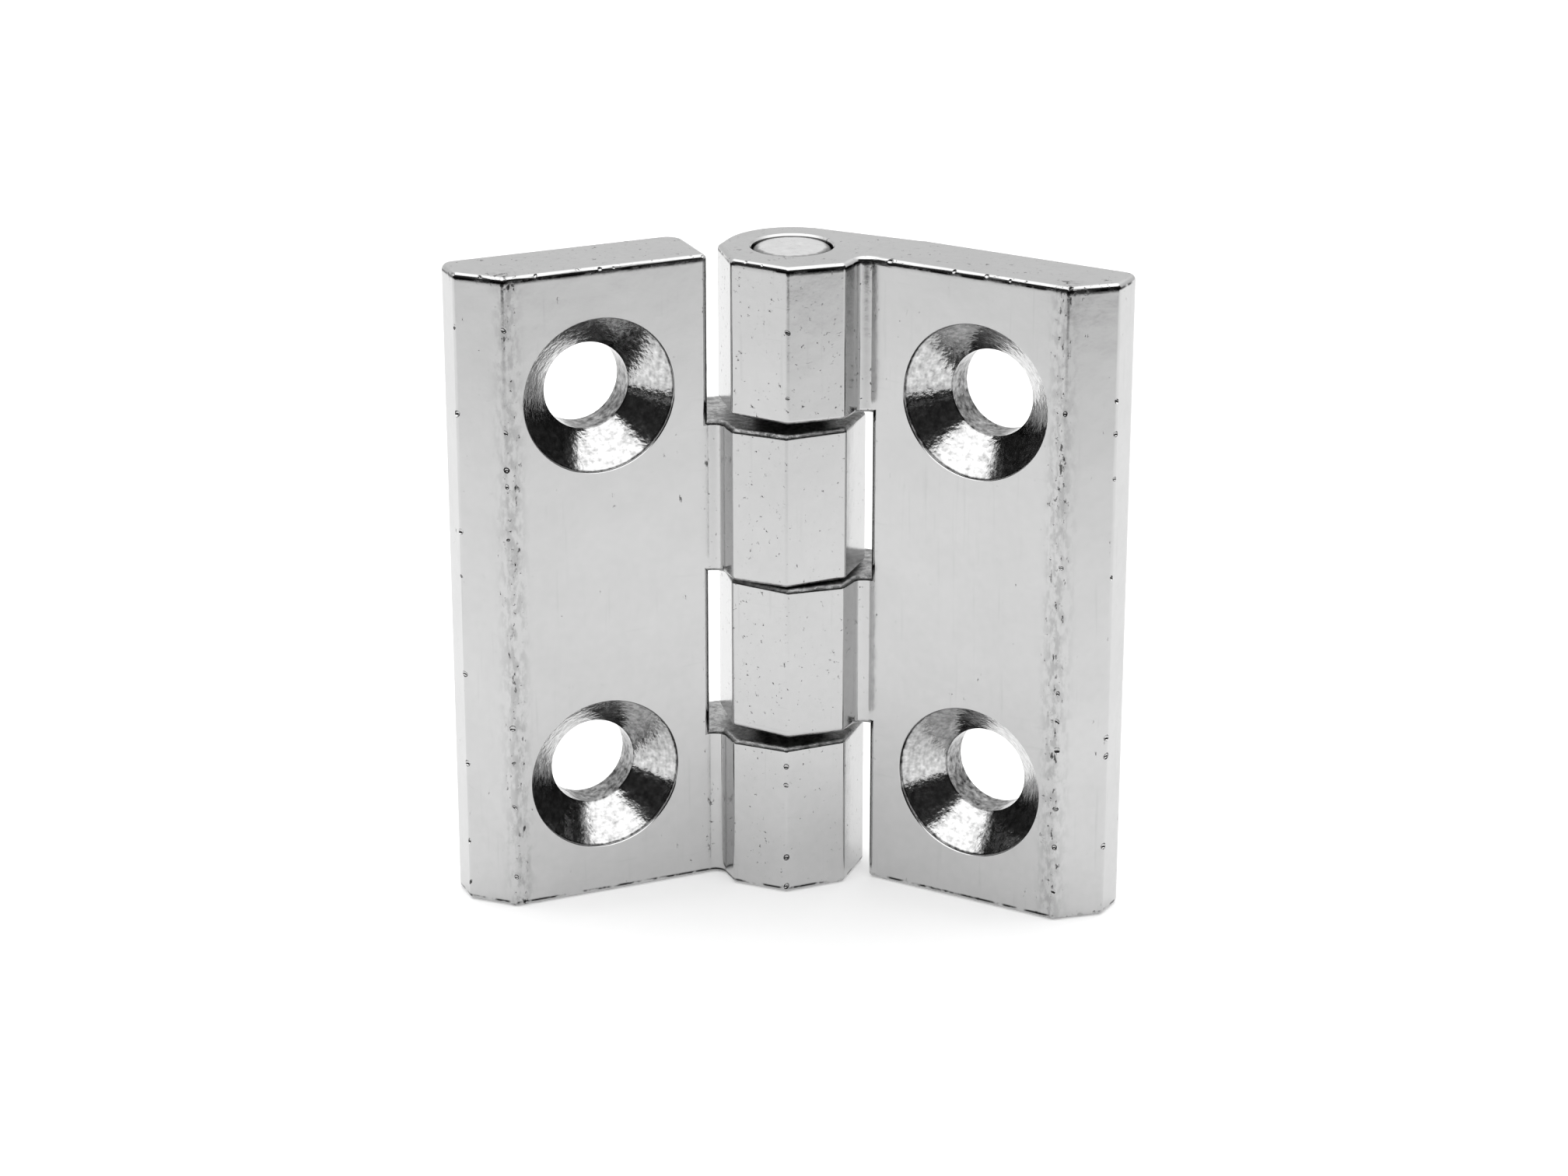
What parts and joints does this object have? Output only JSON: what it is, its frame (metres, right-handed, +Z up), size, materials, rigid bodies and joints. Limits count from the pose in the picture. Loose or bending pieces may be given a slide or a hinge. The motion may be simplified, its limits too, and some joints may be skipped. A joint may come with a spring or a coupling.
{
  "type": "butt hinge",
  "caption": "Square die-cast leaf hinge with faceted knuckles on a round pin, bevelled outer edges and countersunk screw holes.",
  "frame": {"origin": "middle of the left leaf's back face, halfway between its two screw holes", "axes": "+Y out of the left leaf's back face, +X from the left leaf's screw holes towards the pin, +Z up along the pin"},
  "size_m": [0.0455, 0.0249, 0.05],
  "materials": {
    "casting": "satin chrome plate on die-cast zinc",
    "pin_steel": "turned steel, plated"
  },
  "bodies": {
    "fixed_leaf": {"left_leaf": "casting", "hinge_pin": "pin_steel"},
    "moving_leaf": {"right_leaf": "casting"}
  },
  "joints": [
    {"name": "leaf_swing", "type": "hinge", "parent": "fixed_leaf", "child": "moving_leaf", "pos_m": [0.0154, -0.0062, 0], "axis": [0, 0, 1], "range_deg": [-126.5, 148]}
  ]
}
